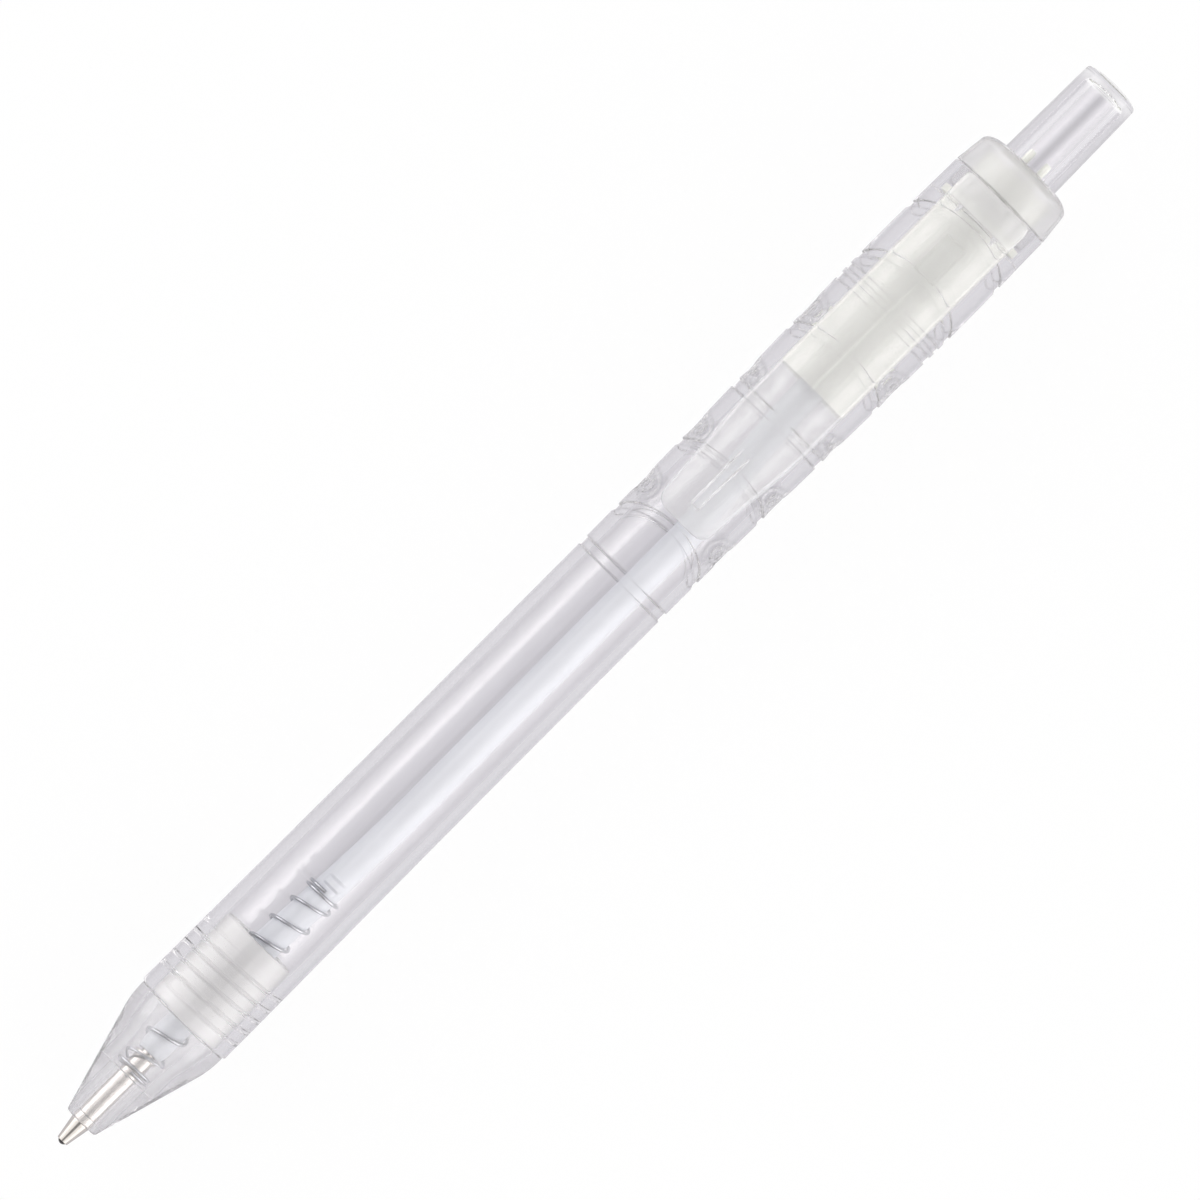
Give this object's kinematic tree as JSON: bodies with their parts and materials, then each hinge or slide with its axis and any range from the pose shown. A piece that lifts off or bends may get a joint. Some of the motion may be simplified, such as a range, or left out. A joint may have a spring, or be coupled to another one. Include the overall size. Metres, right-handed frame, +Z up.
{
  "type": "pushbutton ballpoint pen",
  "caption": "Clear plastic pushbutton ballpoint pen with a grooved upper barrel, wide clip, conical nose, metal tip and spring-loaded click mechanism.",
  "frame": {"origin": "under the middle of the pen's length, on the surface it lies on, with the clip facing up", "axes": "+X along the pen from the tip to the button, +Z up through the clip"},
  "size_m": [0.142, 0.0118, 0.0143],
  "materials": {
    "clear_plastic": "clear, polished",
    "clip_plastic": "clear, faintly frosted",
    "white_plastic": "satin moulded",
    "milky_tube": "milky, satin",
    "ink": "wet paste",
    "grease": "clear grease",
    "nickel_silver": "turned, satin",
    "ball_metal": "polished, inked",
    "spring_steel": "drawn wire"
  },
  "bodies": {
    "body": {"barrel": "clear_plastic", "nose_cone": "clear_plastic", "end_cap": "clear_plastic", "guide_sleeve": "white_plastic", "spring": "spring_steel"},
    "clip": {"clip": "clip_plastic"},
    "button": {"push_button": "clear_plastic", "ratchet_plunger": "white_plastic"},
    "refill": {"refill_tube": "milky_tube", "writing_tip": "nickel_silver", "ink_column": "ink", "ink_follower": "grease"},
    "cam": {"rotating_cam": "white_plastic"},
    "ball": {"ball": "ball_metal"}
  },
  "joints": [
    {"name": "button_press", "type": "slide", "parent": "body", "child": "button", "axis": [1, 0, 0], "range_m": [-0.0012, 0.0059], "stiffness_N_per_m": 250},
    {"name": "refill_travel", "type": "slide", "parent": "body", "child": "refill", "axis": [1, 0, 0], "range_m": [-0.0012, 0.0059], "deforming": ["spring"]},
    {"name": "cam_turn", "type": "hinge", "parent": "refill", "child": "cam", "pos_m": [0.0337, 0, 0.00589], "axis": [1, 0, 0], "continuous": true},
    {"name": "ball_roll", "type": "hinge", "parent": "refill", "child": "ball", "pos_m": [-0.0705, 0, 0.00589], "axis": [0, 1, 0], "continuous": true},
    {"name": "clip_flex", "type": "hinge", "parent": "body", "child": "clip", "pos_m": [0.0537, 0, 0.01131], "axis": [0, 1, 0], "range_deg": [0, 4], "stiffness_Nm_per_rad": 0.05}
  ],
  "couplings": [
    {"joint": "refill_travel", "follows": "button_press", "ratio": 1}
  ]
}
